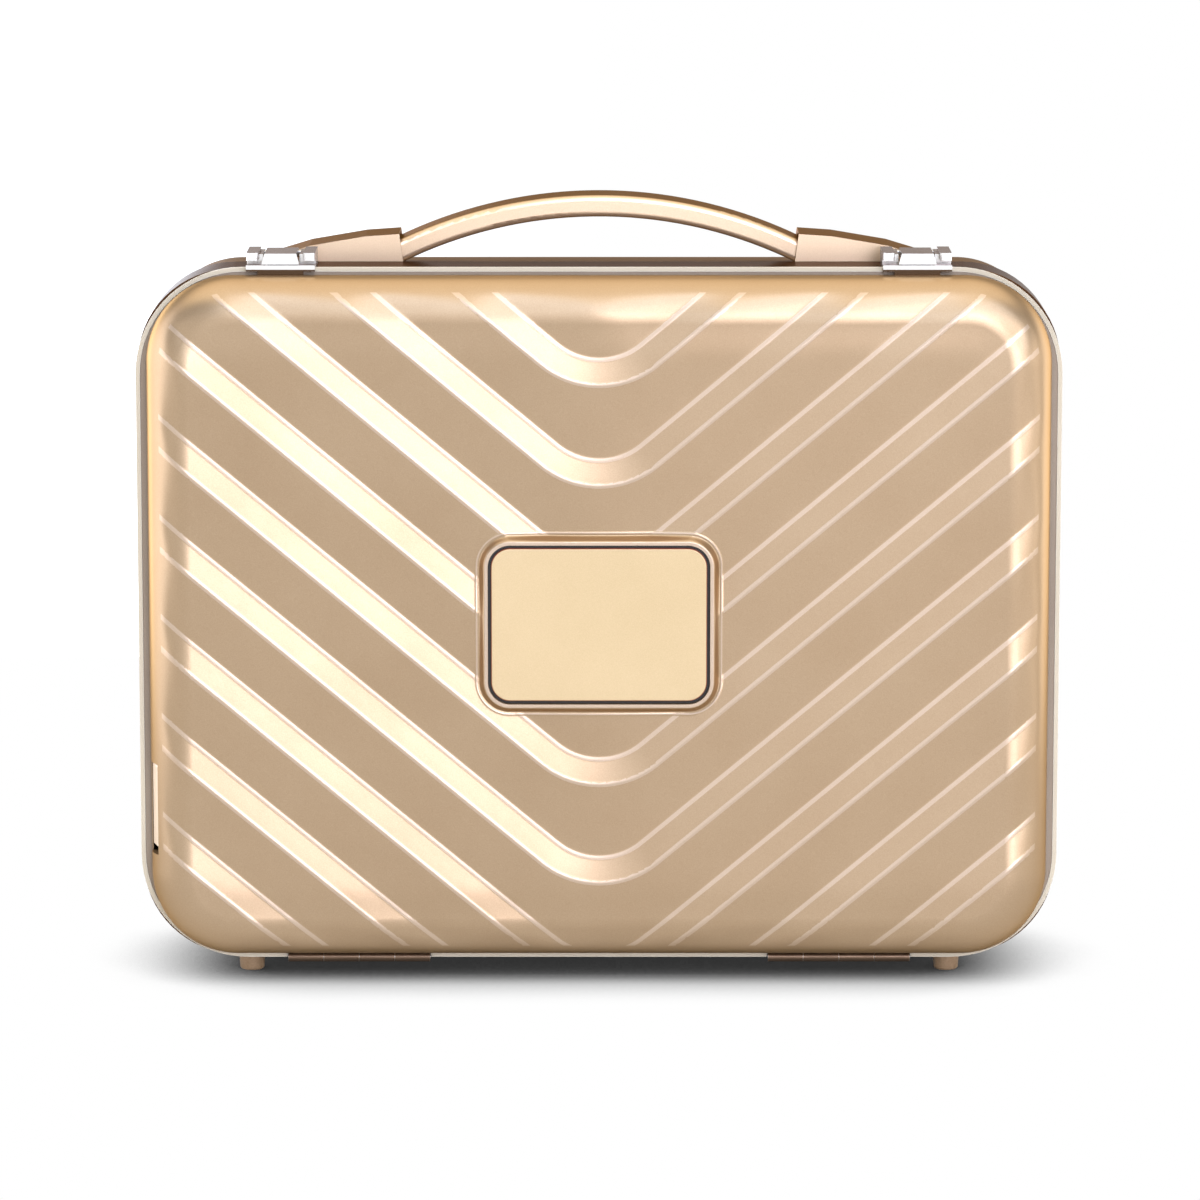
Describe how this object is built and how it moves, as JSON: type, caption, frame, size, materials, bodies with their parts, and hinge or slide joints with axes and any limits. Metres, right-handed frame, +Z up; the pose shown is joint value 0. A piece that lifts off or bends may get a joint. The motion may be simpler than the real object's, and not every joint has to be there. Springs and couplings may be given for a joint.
{
  "type": "hard shell beauty case",
  "caption": "Upright hard shell beauty case with a chevron relief, an arched carrying handle, two snap latches, a hinged front lid with a lit mirror, and a divided inside.",
  "frame": {"origin": "centre of the footprint on the floor, under the feet", "axes": "+X to the right seen from the front, +Y to the back, +Z up; the lid faces -Y"},
  "size_m": [0.32, 0.1102, 0.2719],
  "materials": {
    "shell": "moulded shell, satin gloss champagne gold",
    "lip_trim": "glossy cream trim",
    "frame_brown": "deep glossy brown",
    "frame_grey": "matt taupe",
    "seal_rubber": "soft grey rubber",
    "black_backing": "gloss black film",
    "plate_gold": "satin pale gold, bare",
    "panel_cream": "satin cream",
    "tray_white": "plain white",
    "mirror_glass": "silvered glass",
    "diffuser": "frosted",
    "light_strip": "phosphor on a white film",
    "battery_wrap": "shrink film",
    "board_green": "solder mask",
    "port_black": "matt black",
    "lining": "brushed beige cloth on board",
    "divider_pad": "padded beige cloth",
    "handle": "satin moulding",
    "latch_chrome": "polished",
    "latch_rose": "polished, warm",
    "hinge_bronze": "dark bronze",
    "foot_rubber": "soft tan rubber",
    "steel": "plain steel"
  },
  "bodies": {
    "case_back": {"base_shell": "shell", "base_frame": "frame_brown", "rim_trim": "lip_trim", "frame_seal": "seal_rubber", "base_lining": "lining", "divider_upright_left": "divider_pad", "divider_upright_right": "divider_pad", "divider_shelf_left": "divider_pad", "divider_shelf_middle_low": "divider_pad", "divider_shelf_middle_high": "divider_pad", "divider_shelf_right": "divider_pad", "handle_grip": "handle", "handle_block_left": "handle", "handle_block_right": "handle", "handle_plate_left": "steel", "handle_plate_right": "steel", "handle_screws": "steel", "latch_body_left": "latch_rose", "latch_body_right": "latch_rose", "latch_pin_left": "steel", "latch_pin_right": "steel", "latch_rivets": "steel", "base_hinge_leaf_left": "hinge_bronze", "base_hinge_leaf_right": "hinge_bronze", "hinge_pin_left": "steel", "hinge_pin_right": "steel", "base_hinge_rivets": "steel", "foot_front_left": "foot_rubber", "foot_front_right": "foot_rubber", "foot_rear_left": "foot_rubber", "foot_rear_right": "foot_rubber", "foot_screws": "steel"},
    "lid": {"lid_shell": "shell", "lid_frame": "frame_grey", "nameplate_backing": "black_backing", "nameplate": "plate_gold", "mirror_panel": "panel_cream", "mirror_tray": "tray_white", "mirror_screws": "steel", "mirror_glass": "mirror_glass", "light_diffuser": "diffuser", "light_strip": "light_strip", "battery_pack": "battery_wrap", "control_board": "board_green", "charge_socket": "steel", "port_housing": "port_black", "port_cover_pin": "steel", "latch_keeper_left": "latch_chrome", "latch_keeper_right": "latch_chrome", "lid_hinge_leaf_left": "hinge_bronze", "lid_hinge_leaf_right": "hinge_bronze", "lid_hinge_rivets": "steel"},
    "port_cover": {"port_cover": "shell"},
    "lever_left": {"latch_lever_left": "latch_chrome"},
    "lever_right": {"latch_lever_right": "latch_chrome"}
  },
  "joints": [
    {"name": "lid_hinge", "type": "hinge", "parent": "case_back", "child": "lid", "pos_m": [0, -0.03575, 0.0069], "axis": [1, 0, 0], "range_deg": [0, 90]},
    {"name": "latch_left", "type": "hinge", "parent": "case_back", "child": "lever_left", "pos_m": [-0.1095, -0.01835, 0.253], "axis": [-1, 0, 0], "range_deg": [0, 95]},
    {"name": "latch_right", "type": "hinge", "parent": "case_back", "child": "lever_right", "pos_m": [0.1095, -0.01835, 0.253], "axis": [-1, 0, 0], "range_deg": [0, 95]},
    {"name": "port_cover_hinge", "type": "hinge", "parent": "lid", "child": "port_cover", "pos_m": [-0.15354, -0.04169, 0.0764], "axis": [-0.2836, 0.9589, 0], "range_deg": [0, 95]}
  ]
}
